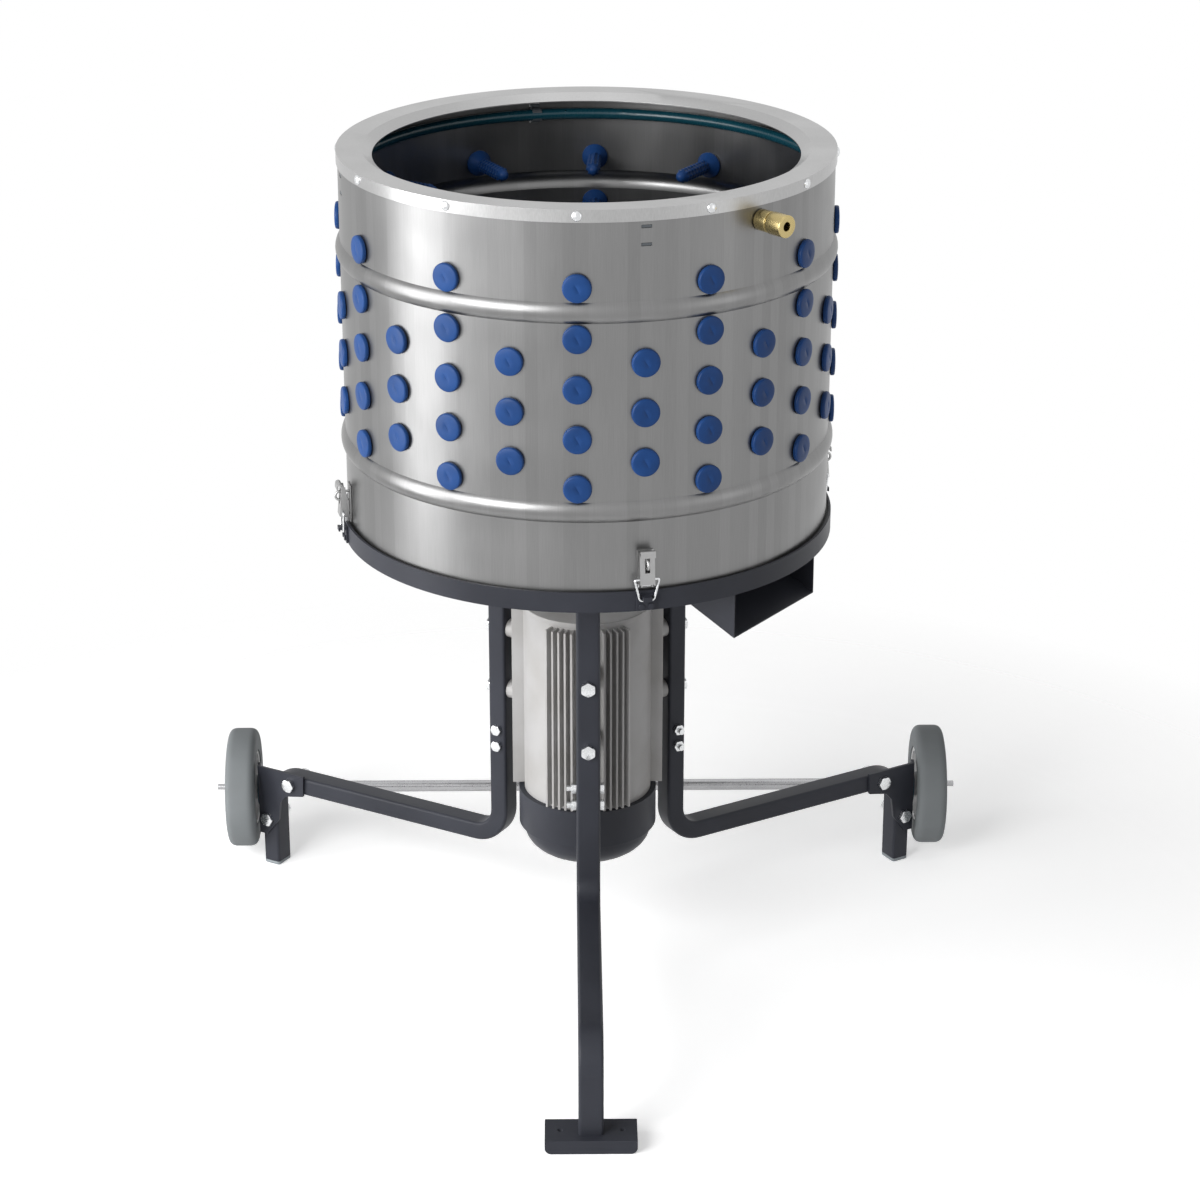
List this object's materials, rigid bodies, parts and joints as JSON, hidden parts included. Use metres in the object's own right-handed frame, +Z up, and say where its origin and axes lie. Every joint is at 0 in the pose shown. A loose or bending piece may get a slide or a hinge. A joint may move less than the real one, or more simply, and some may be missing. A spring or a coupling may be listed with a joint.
{
  "type": "poultry plucker",
  "caption": "Drum-type poultry plucker: a steel drum with rubber fingers over a spinning plate, on a bent-leg stand with a motor and two wheels.",
  "frame": {"origin": "on the ground under the middle of the object's bounding box", "axes": "+Z up, the front leg points to -Y, the wheels are at +Y and their axle lies along X; the drum axis is vertical at y = 78.5 mm"},
  "size_m": [1.032, 0.892, 1.086],
  "materials": {
    "brushed_stainless": "fine vertical brushing",
    "latch_steel": "pressed sheet, slightly dull",
    "bright_zinc": "bright zinc plate",
    "hose_teal": "smooth nylon",
    "clip_plastic": "plain",
    "inlet_brass": "turned",
    "finger_rubber": "smooth moulded rubber",
    "black_rubber": "matt",
    "powder_coat": "satin powder coat",
    "plug_grey": "moulded",
    "turned_steel": "turned",
    "washer_teal": "moulded",
    "tyre_grey": "matt grey rubber",
    "hub_plastic": "moulded",
    "motor_paint": "satin grey paint on cast aluminium",
    "motor_core": "laminated core",
    "black_plastic": "moulded"
  },
  "bodies": {
    "frame": {"drum_shell": "brushed_stainless", "rim_ring": "brushed_stainless", "rim_screws": "bright_zinc", "spray_hose": "hose_teal", "hose_clips": "clip_plastic", "water_inlet": "inlet_brass", "long_column_fingers": "finger_rubber", "short_column_fingers": "finger_rubber", "latch_bases": "latch_steel", "latch_pins": "bright_zinc", "keepers": "powder_coat", "keeper_screws": "bright_zinc", "base_ring": "powder_coat", "base_pan": "brushed_stainless", "ring_seal": "black_rubber", "feather_chute": "powder_coat", "leg_front": "powder_coat", "leg_right": "powder_coat", "leg_left": "powder_coat", "leg_sleeves": "turned_steel", "leg_caps": "plug_grey", "foot_plate": "powder_coat", "motor_bolts": "bright_zinc", "cross_bolts": "bright_zinc", "cross_nuts": "bright_zinc", "bracket_right": "powder_coat", "bracket_left": "powder_coat", "bracket_bolts": "bright_zinc", "axle": "turned_steel", "axle_caps": "bright_zinc", "wheel_washers": "washer_teal", "motor_housing": "motor_paint", "upper_shield": "motor_paint", "lower_shield": "motor_paint", "fan_cover": "powder_coat", "stator": "motor_core", "bearings": "turned_steel", "terminal_box": "motor_paint", "cable_gland": "black_plastic"},
    "rotor": {"motor_shaft": "turned_steel", "rotor_core": "motor_core", "cooling_fan": "black_plastic", "shaft_seal": "black_rubber", "plate_hub": "turned_steel", "feather_plate": "brushed_stainless", "plate_bolts": "bright_zinc", "shaft_cap": "brushed_stainless", "plate_fingers": "finger_rubber"},
    "wheel_right": {"tyre_right": "tyre_grey", "hub_right": "hub_plastic"},
    "wheel_left": {"tyre_left": "tyre_grey", "hub_left": "hub_plastic"},
    "lever_1": {"latch_lever_1": "latch_steel"},
    "bail_1": {"latch_bail_1": "bright_zinc"},
    "lever_2": {"latch_lever_2": "latch_steel"},
    "bail_2": {"latch_bail_2": "bright_zinc"},
    "lever_3": {"latch_lever_3": "latch_steel"},
    "bail_3": {"latch_bail_3": "bright_zinc"},
    "lever_4": {"latch_lever_4": "latch_steel"},
    "bail_4": {"latch_bail_4": "bright_zinc"}
  },
  "joints": [
    {"name": "rotor_spin", "type": "hinge", "parent": "frame", "child": "rotor", "pos_m": [0, 0.0785, 0.6], "axis": [0, 0, 1], "continuous": true},
    {"name": "wheel_right_spin", "type": "hinge", "parent": "frame", "child": "wheel_right", "pos_m": [0.479, 0.3635, 0.096], "axis": [1, 0, 0], "continuous": true},
    {"name": "wheel_left_spin", "type": "hinge", "parent": "frame", "child": "wheel_left", "pos_m": [-0.479, 0.3635, 0.096], "axis": [1, 0, 0], "continuous": true},
    {"name": "lever_1_hinge", "type": "hinge", "parent": "frame", "child": "lever_1", "pos_m": [0.06708, -0.22159, 0.6336], "axis": [0.9759, 0.2181, 0], "range_deg": [0, 110]},
    {"name": "bail_1_hinge", "type": "hinge", "parent": "lever_1", "child": "bail_1", "pos_m": [0.06784, -0.22501, 0.642], "axis": [0.9759, 0.2181, 0], "range_deg": [-110, 0]},
    {"name": "lever_2_hinge", "type": "hinge", "parent": "frame", "child": "lever_2", "pos_m": [0.30009, 0.14558, 0.6336], "axis": [-0.2181, 0.9759, 0], "range_deg": [0, 110]},
    {"name": "bail_2_hinge", "type": "hinge", "parent": "lever_2", "child": "bail_2", "pos_m": [0.30351, 0.14634, 0.642], "axis": [-0.2181, 0.9759, 0], "range_deg": [-110, 0]},
    {"name": "lever_3_hinge", "type": "hinge", "parent": "frame", "child": "lever_3", "pos_m": [-0.06708, 0.37859, 0.6336], "axis": [-0.9759, -0.2181, 0], "range_deg": [0, 110]},
    {"name": "bail_3_hinge", "type": "hinge", "parent": "lever_3", "child": "bail_3", "pos_m": [-0.06784, 0.38201, 0.642], "axis": [-0.9759, -0.2181, 0], "range_deg": [-110, 0]},
    {"name": "lever_4_hinge", "type": "hinge", "parent": "frame", "child": "lever_4", "pos_m": [-0.30009, 0.01142, 0.6336], "axis": [0.2181, -0.9759, 0], "range_deg": [0, 110]},
    {"name": "bail_4_hinge", "type": "hinge", "parent": "lever_4", "child": "bail_4", "pos_m": [-0.30351, 0.01066, 0.642], "axis": [0.2181, -0.9759, 0], "range_deg": [-110, 0]}
  ],
  "couplings": [
    {"joint": "bail_1_hinge", "follows": "lever_1_hinge", "ratio": -1},
    {"joint": "bail_2_hinge", "follows": "lever_2_hinge", "ratio": -1},
    {"joint": "bail_3_hinge", "follows": "lever_3_hinge", "ratio": -1},
    {"joint": "bail_4_hinge", "follows": "lever_4_hinge", "ratio": -1}
  ]
}
